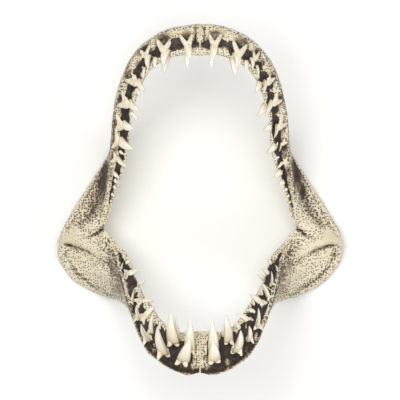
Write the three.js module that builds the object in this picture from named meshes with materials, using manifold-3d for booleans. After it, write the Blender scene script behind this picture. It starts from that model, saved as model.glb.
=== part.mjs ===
// Dried jaws of a shortfin mako shark (Isurus oxyrinchus), wide open, lying on the rear edges of
// their blades with the mouth facing up. Millimetres, +Z up. +Y runs from the jaw joints to the
// front of the upper jaw, and +X is the animal's left. The origin is on the floor, under the
// middle of the outline.
//
// Each jaw is two cartilages that meet in the middle (the symphysis) and hinge on the other jaw at
// the joint. A cartilage is one loft: closed sections follow three rails from symphysis to joint.
//   labial   the outer crest, along the lips
//   lingual  the inner crest, along the tongue
//   margin   the free rear edge, which spreads into the blade near the joint
// The teeth stand between the two crests and are fused to their cartilage.

import * as THREE from 'three';
import { mergeVertices } from 'three/addons/utils/BufferGeometryUtils.js';
import Module from 'manifold-3d';

// ---------------------------------------------------------------- driving dimensions (mm)

const SYMPHYSIS_GAP = 0.4;
const JOINT_GAP = 0.4;

// The joint is a straight seam from the corner of the mouth out to the hinge.
const MOUTH_CORNER = new THREE.Vector3(106.7, -30.8, 40);
const HINGE = new THREE.Vector3(156.8, -45.4, 12);
const CORNER_WIDTH = 7;

// How far the finished jaws are moved to stand centred on the origin, on the floor.
const LIFT = 0.5;
const SHIFT_Y = -1.9;

// Rails of the left cartilages from the symphysis to the joint, where the last station is added.
// Heights above the floor come last. rim is half the thickness of the free edge, crown how far the
// tooth-bearing strip bulges between the crests, and lipSwell and tongueSwell how far the outer and
// inner walls bulge between crest and free edge, or hollow in where they are negative.
const UPPER_JAW = {
  labial: [
    [0, 187, 156], [25.5, 184.5, 155], [49, 174.5, 150], [71, 155.5, 138], [86, 125, 120],
    [94, 89, 102], [98.5, 49, 82], [102.5, 11, 62], [107.5, -17.5, 47],
  ],
  lingual: [
    [0, 155, 168], [21.5, 155.5, 167], [38.5, 149, 163], [54.5, 138, 152], [66.5, 116, 134],
    [74.5, 87.5, 115], [79, 48, 91], [91, 13, 67], [100, -16, 49],
  ],
  margin: [
    [0, 173, 119], [24, 171, 117], [46.5, 162.5, 111], [66, 145.5, 98], [80.5, 117.5, 79],
    [90, 86.5, 47], [96, 56, 8], [123, 13, 0], [149.5, -27, 4],
  ],
  rim: [8, 8, 8, 7, 6, 5, 4.5, 4.5, 5, 9],
  lipSwell: [3, 3, 3, 2.5, 2, 1, 0, -3, -2.5, 1],
  tongueSwell: [3, 3, 2.5, 2, 1.5, 1, 0.5, 0, 0, 1],
  crown: [5, 5, 4.5, 4, 3.5, 3, 2.5, 2, 1.5, 0.5],
};
const LOWER_JAW = {
  labial: [
    [0, -182, 206], [15, -184, 204], [34, -177, 198], [51, -164.5, 186], [62.5, -149, 168],
    [75.5, -117, 132], [84.5, -86.5, 98], [91.5, -62, 70], [98.5, -50.5, 52],
  ],
  lingual: [
    [0, -140.5, 172], [11.5, -140.5, 171], [26.5, -140.5, 168], [40.5, -130, 160],
    [50.5, -115.5, 148], [61.5, -101, 124], [69.5, -85.5, 96], [78.5, -62, 68], [91, -49, 52],
  ],
  margin: [
    [0, -154, 152], [13, -155, 151], [30, -153, 146], [45, -146, 132], [58.5, -132, 104],
    [75, -114, 54], [107.5, -106, 8], [137, -90.5, 1], [154, -68, 2],
  ],
  rim: [9, 9, 9, 8, 7, 5.5, 4.5, 4.5, 5, 9],
  lipSwell: [2, 2, 2, 2, 1.5, 1, -1, -2.5, -2.5, 1],
  tongueSwell: [1, 1, 1, 1, 1, 1, 0.5, 0, 0, 1],
  crown: [2, 2, 2, 2, 2, 1.5, 1.5, 1, 1, 0.5],
};
// Profile of the strip from labial crest (0) to lingual crest (1): place and share of the bulge.
const STRIP_PROFILE = [[0, 0], [0.3, 0.8], [0.65, 1], [1, 0]];

// Teeth. Each row of numbers is one tooth: its place along the labial crest from the symphysis, how
// far in it stands from that crest (0) to the lingual one (1), the height of its crown, its width at
// the neck, and how many degrees it leans towards the joint. rise is the row's slope up from the
// floor, in degrees.
const TEETH = {
  upperLeftFront: { rise: 32, teeth: [
    [17, 0.64, 20, 9, 1], [49, 0.69, 20, 11, 26], [72, 0.5, 15, 7, 42], [110, 0.54, 18, 7, 50],
    [139, 0.53, 24, 8, 50], [171, 0.5, 19, 7, 75], [192, 0.37, 14, 4, 75], [215, 0.36, 16, 5, 49],
  ] },
  upperLeftRear: { rise: 12, teeth: [
    [15, 0.76, 24, 7, 1], [47, 0.85, 23, 11, 23], [67, 0.7, 15, 7, 30], [84, 0.55, 15, 5, 53],
    [108, 0.77, 16, 9, 31], [143, 0.9, 17, 10, 41], [173, 0.8, 12, 10, 26], [195, 0.66, 16, 10, 41],
    [207, 0.48, 13, 5, 40], [228, 0.62, 13, 9, 43], [242, 0.64, 9, 7, 39], [251, 0.55, 6, 4, 45],
    [259, 0.5, 5, 4, 45], [267, 0.5, 4, 3, 45],
  ] },
  upperRightFront: { rise: 32, teeth: [
    [15, 0.67, 18, 9, -7], [43, 0.62, 23, 11, 29], [69, 0.4, 19, 9, 38], [108, 0.67, 19, 10, 25],
    [141, 0.6, 20, 11, 30], [170, 0.5, 17, 12, 28], [189, 0.33, 25, 13, 35], [211, 0.33, 21, 8, 42],
    [230, 0.33, 11, 7, 48],
  ] },
  upperRightRear: { rise: 12, teeth: [
    [15, 0.8, 22, 7, 5], [45, 0.8, 22, 10, 28], [62, 0.64, 15, 6, 33], [85, 0.65, 15, 5, 49],
    [118, 0.75, 13, 6, 40], [153, 0.75, 15, 6, 38], [201, 0.35, 11, 5, 38], [238, 0.4, 8, 5, 50],
    [248, 0.55, 6, 4, 45], [257, 0.5, 5, 4, 45], [265, 0.5, 4, 3, 45],
  ] },
  lowerLeftFront: { rise: 30, teeth: [
    [17, 0.31, 28, 14, 2], [46, 0.33, 29, 13, 27], [70, 0.29, 20, 9, 20], [96, 0.25, 26, 8, 27],
    [123, 0.1, 18, 5, 49], [151, 0.17, 25, 8, 28], [174, 0.33, 20, 5, 77], [199, 0.2, 9, 4, 75],
  ] },
  lowerLeftRear: { rise: 15, teeth: [
    [17, 0.53, 37, 12, 3], [34, 0.84, 18, 5, 5], [39, 0.65, 34, 11, 7], [61, 0.77, 11, 6, -9],
    [86, 0.61, 19, 9, -36], [107, 0.59, 11, 9, -37], [110, 0.8, 9, 5, 21], [132, 0.5, 18, 11, -8],
    [144, 0.63, 15, 6, 34], [185, 0.95, 11, 7, 35], [194, 0.77, 12, 9, 45], [210, 0.79, 9, 7, 56],
    [220, 0.5, 6, 4, 50],
  ] },
  lowerRightFront: { rise: 30, teeth: [
    [21, 0.28, 31, 14, -11], [45, 0.26, 38, 14, 27], [74, 0.24, 24, 11, 44], [111, 0.26, 20, 8, 40],
    [143, 0.16, 21, 5, 36], [156, 0.1, 22, 5, 70], [186, 0.2, 13, 4, 80], [200, 0.12, 12, 4, 80],
  ] },
  lowerRightRear: { rise: 15, teeth: [
    [13, 0.53, 38, 12, 3], [30, 0.84, 26, 6, 16], [35, 0.64, 39, 14, 17], [61, 0.73, 12, 5, 14],
    [74, 0.42, 25, 8, 14], [104, 0.43, 20, 11, -16], [131, 0.62, 16, 11, -38], [140, 0.7, 13, 6, 39],
    [172, 0.88, 13, 6, 16], [194, 0.43, 15, 10, 23], [211, 0.5, 10, 5, 35], [220, 0.5, 6, 4, 50],
  ] },
};
// How deep a tooth's foot is sunk in the strip, at most, and as a share of the crown's height.
const TOOTH_SINK = 2.5;
const TOOTH_SINK_SHARE = 0.2;
// Sections of a tooth: height as a share of the crown, half width and half thickness as shares of
// the tooth's width, and how far the section is bent back as a share of the crown.
const TOOTH_SECTIONS = [
  [-0.1, 0.56, 0.34, 0.02], [0.1, 0.53, 0.36, 0], [0.42, 0.42, 0.29, 0.03],
  [0.76, 0.24, 0.17, 0.04],
];

// Fineness of the facets.
const SECTION_SIDES = 16;
const LOFT_STEPS = 28;
const TOOTH_SIDES = 6;

const CARTILAGE_COLOUR = '#e9e3d2';

// ---------------------------------------------------------------- rails and frames

const wasm = await Module();
wasm.setup();

const seam = new THREE.Vector3().subVectors(HINGE, MOUTH_CORNER).setZ(0).normalize();
const seamNormal = new THREE.Vector3(-seam.y, seam.x, 0);

function railCurve(points, last) {
  const vectors = points.map((p) => new THREE.Vector3(...p));
  vectors.push(last.clone());
  return new THREE.CatmullRomCurve3(vectors, false, 'catmullrom', 0.5);
}

// A number read between stations, with smooth easing from one station to the next.
function stationValue(values, t) {
  const place = Math.min(t, 1) * (values.length - 1);
  const index = Math.min(Math.floor(place), values.length - 2);
  const share = place - index;
  const ease = share * share * (3 - 2 * share);
  return values[index] + (values[index + 1] - values[index]) * ease;
}

// towardJoint is the direction in which the jaw reaches the joint seam: -1 down to it, 1 up to it.
function makeJaw(table, towardJoint) {
  const cornerOut = MOUTH_CORNER.clone().addScaledVector(seam, CORNER_WIDTH);
  return {
    table,
    labial: railCurve(table.labial, cornerOut),
    lingual: railCurve(table.lingual, MOUTH_CORNER),
    margin: railCurve(table.margin, HINGE),
    jointDirection: seamNormal.clone().multiplyScalar(towardJoint),
  };
}

// Directions at one station: along the jaw, from crest to crest, out of the mouth strip, down to
// the free edge, and across the blade towards the lips.
function frameAt(jaw, t) {
  const labial = jaw.labial.getPoint(t);
  const lingual = jaw.lingual.getPoint(t);
  const margin = jaw.margin.getPoint(t);
  const along = jaw.labial.getTangent(t).add(jaw.lingual.getTangent(t)).normalize();
  const nearMiddle = 1 - THREE.MathUtils.smoothstep(t, 0, 0.1);
  const nearJoint = THREE.MathUtils.smoothstep(t, 0.85, 1);
  along.lerp(new THREE.Vector3(1, 0, 0), nearMiddle);
  along.lerp(jaw.jointDirection, nearJoint).normalize();
  const centre = labial.clone().lerp(lingual, 0.5);
  const across = lingual.clone().sub(labial).normalize();
  const down = margin.clone().sub(centre).normalize();
  const lipward = new THREE.Vector3().crossVectors(along, down).normalize();
  if (lipward.dot(across) > 0) lipward.negate();
  const out = new THREE.Vector3().crossVectors(along, across).normalize();
  if (out.dot(down) > 0) out.negate();
  return { labial, lingual, margin, along, centre, across, down, lipward, out };
}

// ---------------------------------------------------------------- cartilage

function sectionAt(jaw, t) {
  const f = frameAt(jaw, t);
  const rim = stationValue(jaw.table.rim, t);
  const crown = stationValue(jaw.table.crown, t);
  const lipSwell = stationValue(jaw.table.lipSwell, t);
  const tongueSwell = stationValue(jaw.table.tongueSwell, t);
  const strip = STRIP_PROFILE.map(([place, share]) => f.labial.clone().lerp(f.lingual, place)
    .addScaledVector(f.out, share * crown));
  const edge = (side) => f.margin.clone().addScaledVector(f.down, -rim)
    .addScaledVector(f.lipward, side * rim);
  const outerWall = (share) => f.labial.clone().lerp(edge(1), share)
    .addScaledVector(f.lipward, lipSwell);
  const innerWall = (share) => f.lingual.clone().lerp(edge(-1), share)
    .addScaledVector(f.lipward, -tongueSwell);
  const outline = new THREE.CatmullRomCurve3([
    ...strip,
    innerWall(0.3),
    innerWall(0.65),
    edge(-1),
    f.margin,
    edge(1),
    outerWall(0.65),
    outerWall(0.3),
  ], true, 'catmullrom', 0.5);
  return Array.from({ length: SECTION_SIDES }, (_, i) => outline.getPoint(i / SECTION_SIDES));
}

// Triangles between neighbouring rings of points.
function sideFaces(ringCount, sides) {
  const index = [];
  for (let r = 0; r < ringCount - 1; r += 1) {
    for (let i = 0; i < sides; i += 1) {
      const a = r * sides + i;
      const b = r * sides + (i + 1) % sides;
      index.push(a, b, b + sides, a, b + sides, a + sides);
    }
  }
  return index;
}

// A closed skin over rings of equal length, with flat ends.
function skinRings(rings) {
  const sides = rings[0].length;
  const index = sideFaces(rings.length, sides);
  for (const [r, flip] of [[0, true], [rings.length - 1, false]]) {
    for (const face of endFaces(rings[r])) {
      const corners = face.map((i) => r * sides + i);
      index.push(...(flip ? corners.reverse() : corners));
    }
  }
  return outwards(rings.flat(), index);
}

// Triangles of a flat ring, wound like the ring itself.
function endFaces(ring) {
  const normal = new THREE.Vector3();
  ring.forEach((point, i) => {
    normal.add(new THREE.Vector3().crossVectors(point, ring[(i + 1) % ring.length]));
  });
  normal.normalize();
  const turn = new THREE.Quaternion().setFromUnitVectors(normal, new THREE.Vector3(0, 0, 1));
  const flat = ring.map((point) => {
    const turned = point.clone().applyQuaternion(turn);
    return new THREE.Vector2(turned.x, turned.y);
  });
  return THREE.ShapeUtils.triangulateShape(flat, []);
}

// A solid from a closed skin, with its faces turned outwards.
function outwards(points, index) {
  const corner = (i) => points[index[i]].clone();
  let volume = 0;
  for (let i = 0; i < index.length; i += 3) {
    volume += corner(i).dot(corner(i + 1).cross(corner(i + 2)));
  }
  if (volume < 0) index.reverse();
  return new wasm.Manifold(new wasm.Mesh({
    numProp: 3,
    vertProperties: new Float32Array(points.flatMap((p) => p.toArray())),
    triVerts: new Uint32Array(index),
  }));
}

function cartilage(jaw) {
  const rings = Array.from({ length: LOFT_STEPS + 1 }, (_, k) => sectionAt(jaw, k / LOFT_STEPS));
  for (const point of rings[0]) {
    point.x = SYMPHYSIS_GAP / 2;
  }
  for (const point of rings[LOFT_STEPS]) {
    const past = point.clone().sub(MOUTH_CORNER).dot(jaw.jointDirection);
    point.addScaledVector(jaw.jointDirection, -past - JOINT_GAP / 2);
  }
  return skinRings(rings);
}

// ---------------------------------------------------------------- teeth

// How far the strip stands above the line between its crests, as a share of its bulge.
function stripShare(inset) {
  const next = STRIP_PROFILE.findIndex(([place]) => place > inset);
  const [lowPlace, lowShare] = STRIP_PROFILE[next - 1];
  const [highPlace, highShare] = STRIP_PROFILE[next];
  return lowShare + (highShare - lowShare) * (inset - lowPlace) / (highPlace - lowPlace);
}

function tooth(jaw, rise, [station, inset, height, width, lean]) {
  const t = jaw.labial.getUtoTmapping(station / jaw.labial.getLength());
  const f = frameAt(jaw, t);
  const inward = f.across.clone().setZ(0).normalize();
  const toJoint = new THREE.Vector3(-inward.y, inward.x, 0);
  if (toJoint.dot(f.along) < 0) toJoint.negate();
  const leanAngle = THREE.MathUtils.degToRad(lean);
  const riseAngle = THREE.MathUtils.degToRad(rise);
  const axis = inward.multiplyScalar(Math.cos(leanAngle))
    .addScaledVector(toJoint, Math.sin(leanAngle))
    .multiplyScalar(Math.cos(riseAngle))
    .setZ(Math.sin(riseAngle));
  const broad = f.along.clone().addScaledVector(axis, -f.along.dot(axis)).normalize();
  const back = new THREE.Vector3().crossVectors(axis, broad);
  if (back.z < 0) back.negate();
  const sink = Math.min(TOOTH_SINK, TOOTH_SINK_SHARE * height);
  const root = f.labial.clone().lerp(f.lingual, inset).addScaledVector(f.out, -sink);
  root.z += stationValue(jaw.table.crown, t) * stripShare(inset) / f.out.z;
  const rings = TOOTH_SECTIONS.map(([up, halfWidth, halfThick, bend]) => {
    const middle = root.clone().addScaledVector(axis, up * height)
      .addScaledVector(back, bend * height);
    return Array.from({ length: TOOTH_SIDES }, (_, i) => {
      const angle = 2 * Math.PI * i / TOOTH_SIDES;
      return middle.clone()
        .addScaledVector(broad, Math.cos(angle) * halfWidth * width)
        .addScaledVector(back, Math.sin(angle) * halfThick * width);
    });
  });
  return skinToTip(rings, root.clone().addScaledVector(axis, height));
}

// A skin like skinRings', closed at its far end by one point.
function skinToTip(rings, tip) {
  const sides = rings[0].length;
  const points = [...rings.flat(), tip];
  const last = (rings.length - 1) * sides;
  const index = sideFaces(rings.length, sides);
  for (let i = 0; i < sides; i += 1) {
    index.push(last + i, last + (i + 1) % sides, points.length - 1);
  }
  for (let i = 1; i < sides - 1; i += 1) {
    index.push(0, i + 1, i);
  }
  return outwards(points, index);
}

// ---------------------------------------------------------------- assembly

function half(name, jaw, rows, side) {
  let solid = cartilage(jaw);
  for (const { rise, teeth } of rows) {
    for (const entry of teeth) {
      solid = solid.add(tooth(jaw, rise, entry));
    }
  }
  const mesh = solid.getMesh();
  const geometry = new THREE.BufferGeometry();
  geometry.setAttribute('position', new THREE.BufferAttribute(mesh.vertProperties, 3));
  geometry.setIndex(new THREE.BufferAttribute(mesh.triVerts, 1));
  if (side < 0) {
    geometry.scale(-1, 1, 1);
    geometry.index.array.reverse();
  }
  geometry.translate(0, SHIFT_Y, LIFT);
  const material = new THREE.MeshStandardMaterial({
    color: CARTILAGE_COLOUR,
    roughness: 0.6,
    metalness: 0,
  });
  const part = new THREE.Mesh(mergeVertices(geometry, 1e-3), material);
  part.name = name;
  return part;
}

const upper = makeJaw(UPPER_JAW, -1);
const lower = makeJaw(LOWER_JAW, 1);

const jaws = new THREE.Group();
jaws.add(half('upper_jaw_left', upper, [TEETH.upperLeftFront, TEETH.upperLeftRear], 1));
jaws.add(half('upper_jaw_right', upper, [TEETH.upperRightFront, TEETH.upperRightRear], -1));
jaws.add(half('lower_jaw_left', lower, [TEETH.lowerLeftFront, TEETH.lowerLeftRear], 1));
jaws.add(half('lower_jaw_right', lower, [TEETH.lowerRightFront, TEETH.lowerRightRear], -1));

export default jaws;
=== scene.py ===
import math
from functools import partial

import bpy
import numpy as np
from mathutils import Matrix, Vector


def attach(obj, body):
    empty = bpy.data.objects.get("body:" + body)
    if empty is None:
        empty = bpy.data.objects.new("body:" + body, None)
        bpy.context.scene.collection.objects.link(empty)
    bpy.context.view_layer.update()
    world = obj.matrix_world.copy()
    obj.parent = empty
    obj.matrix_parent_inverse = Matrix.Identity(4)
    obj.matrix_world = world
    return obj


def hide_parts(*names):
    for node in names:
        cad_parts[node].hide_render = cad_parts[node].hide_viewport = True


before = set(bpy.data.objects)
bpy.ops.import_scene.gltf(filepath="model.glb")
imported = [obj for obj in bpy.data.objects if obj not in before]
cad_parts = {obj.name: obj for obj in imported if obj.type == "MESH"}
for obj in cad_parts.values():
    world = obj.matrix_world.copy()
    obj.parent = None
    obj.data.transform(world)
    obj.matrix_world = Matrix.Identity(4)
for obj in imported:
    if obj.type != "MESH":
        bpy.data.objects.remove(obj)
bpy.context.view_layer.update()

# ---------------------------------------------------------------- copy stand
# The jaws lie mouth up and are looked at from straight above the gape, as on a copy stand.
# The lens is long, so that the front teeth, which stand nearest to it, hardly grow.
EYE_HEIGHT = 4.0005
EYE_Y = -0.0019
LENS_MM = 324.0
SENSOR_MM = 36.0
FARTHEST_SEEN = 50.0


def new_object(name, data):
    made = bpy.data.objects.new(name, data)
    bpy.context.scene.collection.objects.link(made)
    return made


stand_camera = bpy.data.cameras.new("copy_stand")
stand_camera.lens = LENS_MM
stand_camera.sensor_width = SENSOR_MM
stand_camera.clip_end = FARTHEST_SEEN
camera = new_object("copy_stand", stand_camera)
camera.location = (0.0, EYE_Y, EYE_HEIGHT)
bpy.context.scene.camera = camera


# ---------------------------------------------------------------- table top
# A sheet of matt white lacquered board, far wider than the jaws.
# Rolled lacquer gives it a faint orange peel and nothing else.
def linear_colour(hex_code):
    shares = [int(hex_code[i:i + 2], 16) / 255 for i in (1, 3, 5)]
    linear = [s / 12.92 if s <= 0.04045 else ((s + 0.055) / 1.055) ** 2.4 for s in shares]
    return (*linear, 1.0)


def set_inputs(tree, made, inputs):
    """A node given as an input stands for its first output, and a hex code for its colour."""
    for socket, value in inputs.items():
        if isinstance(value, bpy.types.Node):
            value = next(output for output in value.outputs if output.enabled)
        if isinstance(value, bpy.types.NodeSocket):
            tree.links.new(value, made.inputs[socket])
        else:
            is_colour = str(value).startswith("#")
            made.inputs[socket].default_value = linear_colour(value) if is_colour else value


def add_node(tree, kind, inputs=None, stops=(), **settings):
    """A node with its settings and inputs. A shader node's kind goes without that prefix, and stops
    are the places and colours of a colour ramp."""
    made = tree.nodes.new(kind if "Node" in kind else f"ShaderNode{kind}")
    for name, value in settings.items():
        setattr(made, name, value)
    set_inputs(tree, made, inputs or {})
    for number, (place, hex_code) in enumerate(stops):
        ramp = made.color_ramp.elements
        is_end = number in (0, len(stops) - 1)
        stop = ramp[-1 if number else 0] if is_end else ramp.new(place)
        stop.position = place
        stop.color = linear_colour(hex_code)
    return made


def new_material(name):
    """A material, what adds a node to it, a socket with the places on the piece, and what sets the
    inputs of its surface shader."""
    material = bpy.data.materials.new(name)
    material.use_nodes = True
    tree = material.node_tree
    tree.nodes.clear()
    surface = add_node(tree, "BsdfPrincipled")
    add_node(tree, "OutputMaterial", {"Surface": surface})
    place = add_node(tree, "TexCoord").outputs["Object"]
    return material, partial(add_node, tree), place, partial(set_inputs, tree, surface)


TABLE_HALF = 9.0
LACQUER_PEEL = 0.0022

board_mesh = bpy.data.meshes.new("table_top")
board_mesh.from_pydata(
    [(x * TABLE_HALF, y * TABLE_HALF, 0.0) for x, y in ((-1, -1), (1, -1), (1, 1), (-1, 1))],
    [], [(0, 1, 2, 3)])
table_top = new_object("table_top", board_mesh)

lacquer, node, place, coat = new_material("matt_white_lacquer")
peel = node("TexNoise", {"Vector": place, "Scale": 1 / LACQUER_PEEL, "Detail": 2.0})
peel_bump = node("Bump", {"Height": peel, "Strength": 0.05, "Distance": 0.0002})
lacquer_tone = node("Mix", {"Factor": peel, "A": "#f6f5f2", "B": "#f2f1ee"}, data_type="RGBA")
coat({"Base Color": lacquer_tone, "Roughness": 0.85, "Normal": peel_bump})
board_mesh.materials.append(lacquer)


# ---------------------------------------------------------------- upper jaw cartilage
# The palatoquadrates: two bars of cartilage that meet in front and spread into a blade behind.
# Sharks calcify the cartilage in a skin of prisms about a millimetre across, the tesserae, so it
# dries pale cream with pinhole pores between them, and brown where gum and muscle sat. Shade is
# painted on it as well: browner and with crowded pores in hollows, grooves and folds, beside the
# bars and round the roots, and paler with few pores on the rims.
MM = 0.001
LIFT = 0.5
SHIFT_Y = -1.9
SYMPHYSIS_GAP = 0.4
JOINT_GAP = 0.4
MOUTH_CORNER = np.array([106.7, -30.8, 40.0])
HINGE = np.array([156.8, -45.4, 12.0])
CORNER_WIDTH = 7.0

UPPER_JAW = {
    "labial": [[0, 187, 156], [25.5, 184.5, 155], [49, 174.5, 150], [71, 155.5, 138], [86, 125, 120],
               [94, 89, 102], [98.5, 49, 82], [102.5, 11, 62], [107.5, -17.5, 47]],
    "lingual": [[0, 155, 168], [21.5, 155.5, 167], [38.5, 149, 163], [54.5, 138, 152],
                [66.5, 116, 134], [74.5, 87.5, 115], [79, 48, 91], [91, 13, 67], [100, -16, 49]],
    "margin": [[0, 173, 119], [24, 171, 117], [46.5, 162.5, 111], [66, 145.5, 98],
               [80.5, 117.5, 79], [90, 86.5, 47], [96, 56, 8], [123, 13, 0], [149.5, -27, 4]],
    "rim": [8, 8, 8, 7, 6, 5, 4.5, 4.5, 5, 9],
    "lip_swell": [3, 3, 3, 2.5, 2, 1, 0, -3, -2.5, 1],
    "tongue_swell": [3, 3, 2.5, 2, 1.5, 1, 0.5, 0, 0, 1],
    "crown": [5, 5, 4.5, 4, 3.5, 3, 2.5, 2, 1.5, 0.5],
    "toward_joint": -1,
}

seam = (HINGE - MOUTH_CORNER) * [1, 1, 0]
seam /= np.linalg.norm(seam)
seam_normal = np.array([-seam[1], seam[0], 0.0])


def unit(vectors):
    return vectors / np.linalg.norm(vectors, axis=-1, keepdims=True)


def dot(a, b):
    return np.sum(a * b, axis=-1, keepdims=True)


def ease(value, low, high):
    share = np.clip((value - low) / (high - low), 0, 1)
    return share * share * (3 - 2 * share)


def bell(value, width, power=2):
    """1 at nothing, fading over the width."""
    return np.exp(-((value / width) ** power))


def through_points(points, places, closed):
    """A smooth curve through points, read at places counted in points from the first."""
    points = np.asarray(points, float)
    count = points.shape[-2]
    if closed:
        padded = np.concatenate([points[..., -1:, :], points, points[..., :2, :]], axis=-2)
    else:
        before = 2 * points[..., :1, :] - points[..., 1:2, :]
        after = 2 * points[..., -1:, :] - points[..., -2:-1, :]
        padded = np.concatenate([before, points, after], axis=-2)
    index = np.minimum(np.floor(places).astype(int), count - 1 if closed else count - 2)
    share = (places - index)[:, None]
    p0, p1, p2, p3 = (padded[..., index + k, :] for k in range(4))
    leave = (p2 - p0) / 2
    arrive = (p3 - p1) / 2
    cubic = 2 * p1 - 2 * p2 + leave + arrive
    square = -3 * p1 + 3 * p2 - 2 * leave - arrive
    return ((cubic * share + square) * share + leave) * share + p1


def between_stations(values, t):
    place = np.clip(t, 0, 1) * (len(values) - 1)
    index = np.minimum(place.astype(int), len(values) - 2)
    values = np.asarray(values, float)
    return values[index] + (values[index + 1] - values[index]) * ease(place - index, 0, 1)


def rail(points, last, t):
    points = np.array([*points, last], float)
    return through_points(points, np.clip(t, 0, 1) * (len(points) - 1), closed=False)


def frames_along(jaw, t):
    """Crests, free edge and directions of the left half of a jaw, as the CAD's sections have them."""
    tiny = 1e-4
    rails = {
        "labial": lambda s: rail(jaw["labial"], MOUTH_CORNER + CORNER_WIDTH * seam, s),
        "lingual": lambda s: rail(jaw["lingual"], MOUTH_CORNER, s),
        "margin": lambda s: rail(jaw["margin"], HINGE, s),
    }
    f = {name: curve(t) for name, curve in rails.items()}
    ahead, behind = np.minimum(t + tiny, 1), np.maximum(t - tiny, 0)
    along = unit(sum(unit(rails[name](ahead) - rails[name](behind)) for name in ("labial", "lingual")))
    near_middle = (1 - ease(t, 0, 0.1))[:, None]
    near_joint = ease(t, 0.85, 1)[:, None]
    along = along * (1 - near_middle) + np.array([1.0, 0, 0]) * near_middle
    along = unit(along * (1 - near_joint) + jaw["toward_joint"] * seam_normal * near_joint)
    centre = (f["labial"] + f["lingual"]) / 2
    across = unit(f["lingual"] - f["labial"])
    down = unit(f["margin"] - centre)
    lipward = unit(np.cross(along, down))
    lipward *= -np.sign(dot(lipward, across))
    out = unit(np.cross(along, across))
    out *= -np.sign(dot(out, down))
    f.update(along=along, across=across, down=down, lipward=lipward, out=out)
    return f


# Key points round a section: the toothed strip from lips (0) to tongue (3), the inner wall (to 6),
# the free edge (to 8) and the outer wall back to the lips (11).
STRIP_END = 3
EDGE_END = 8
WALL_END = 11
# How far the strip stands above the line between its crests: place across it, share of its bulge.
STRIP_PROFILE = [(0, 0), (0.3, 0.8), (0.65, 1), (1, 0)]
STRIP_PLACES = [place for place, _ in STRIP_PROFILE]


def sections(jaw, t, around):
    f = frames_along(jaw, t)
    rim, crown, lip_swell, tongue_swell = (
        between_stations(jaw[name], t)[:, None] for name in ("rim", "crown", "lip_swell", "tongue_swell"))

    def edge(side):
        return f["margin"] - f["down"] * rim + f["lipward"] * side * rim

    def outer_wall(share):
        return f["labial"] * (1 - share) + edge(1) * share + f["lipward"] * lip_swell

    def inner_wall(share):
        return f["lingual"] * (1 - share) + edge(-1) * share - f["lipward"] * tongue_swell

    strip = [f["labial"] * (1 - place) + f["lingual"] * place + f["out"] * crown * share
             for place, share in STRIP_PROFILE]
    keys = np.stack([
        *strip, inner_wall(0.3), inner_wall(0.65), edge(-1), f["margin"], edge(1),
        outer_wall(0.65), outer_wall(0.3)], axis=1)
    return through_points(keys, around, closed=True), f


STEPS_ALONG = 380
# Samples round a section, from one key point to the next.
STEPS_BETWEEN_KEYS = [14, 20, 16, 12, 14, 14, 12, 12, 16, 18, 18]
around = np.concatenate([k + np.arange(n) / n for k, n in enumerate(STEPS_BETWEEN_KEYS)])
along_steps = np.linspace(0, 1, STEPS_ALONG)
# Of each sample round a section: whether it is on the strip, and its place across it.
on_strip = around <= STRIP_END
across_strip = np.interp(around, range(len(STRIP_PLACES)), STRIP_PLACES)


def grid_normals(points):
    along = np.gradient(points, axis=0)
    round_it = np.roll(points, -1, axis=1) - np.roll(points, 1, axis=1)
    normals = unit(np.cross(round_it, along) + 1e-12)
    # at the free edge the way out is away from the section's middle
    middle = points.mean(axis=1, keepdims=True)
    if np.sum((points - middle) * normals) < 0:
        normals = -normals
    return normals


def ripple(points, size, height, seed):
    """Soft random relief of about that size in mm, made of a few dozen plane waves."""
    random = np.random.default_rng(seed)
    total = np.zeros(points.shape[:-1])
    waves = 24
    for _ in range(waves):
        direction = unit(random.normal(size=3))
        length = size * random.uniform(0.6, 1.8)
        total += np.sin(points @ direction * 2 * math.pi / length + random.uniform(0, 2 * math.pi))
    return height * total / math.sqrt(waves)


def line_bump(points, line, width, end_share):
    """1 at the start of a line drawn in plan and end_share at its end, fading over width mm beside it."""
    plan = points[..., :2]
    nearest = np.full(points.shape[:-1], 1e9)
    strength = np.ones(points.shape[:-1])
    for number, (start, end) in enumerate(zip(line[:-1], line[1:])):
        start, end = np.array(start, float), np.array(end, float)
        run = end - start
        share = np.clip((plan - start) @ run / (run @ run), 0, 1)
        gap = np.linalg.norm(plan - start - share[..., None] * run, axis=-1)
        closer = gap < nearest
        nearest = np.where(closer, gap, nearest)
        way = (number + share) / (len(line) - 1)
        strength = np.where(closer, 1 + (end_share - 1) * way, strength)
    return strength * bell(nearest, width)


def blur(values, *reaches):
    """Running mean over a grid, wrapping round the section."""
    for axis, reach in enumerate(reaches):
        pad = [(reach, reach) if number == axis else (0, 0) for number in range(values.ndim)]
        padded = np.pad(values, pad, mode="wrap" if axis else "edge")
        values = np.lib.stride_tricks.sliding_window_view(padded, 2 * reach + 1, axis).mean(axis=-1)
    return values


def to_row_frame(points, side):
    return (points + [0, SHIFT_Y, LIFT]) * [side * MM, MM, MM]


def mesh_piece(name, points, faces, materials, attributes):
    """An object with smooth faces, its place in its mesh, and float attributes on its points."""
    mesh = bpy.data.meshes.new(name)
    mesh.from_pydata(points.tolist(), [], faces)
    # a closed skin whose faces look inwards has a negative volume, and is turned inside out
    triangles = np.empty(3 * len(mesh.loop_triangles), np.int32)
    mesh.loop_triangles.foreach_get("vertices", triangles)
    first, second, third = points[triangles.reshape(-1, 3)].transpose(1, 0, 2)
    if dot(first, np.cross(second, third)).sum() < 0:
        mesh.flip_normals()
    for key, values in attributes.items():
        made = mesh.attributes.new(key, "FLOAT", "POINT")
        made.data.foreach_set("value", np.asarray(values, np.float32).ravel())
    mesh.shade_smooth()
    for material in materials:
        mesh.materials.append(material)
    return new_object(name, mesh)


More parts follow.
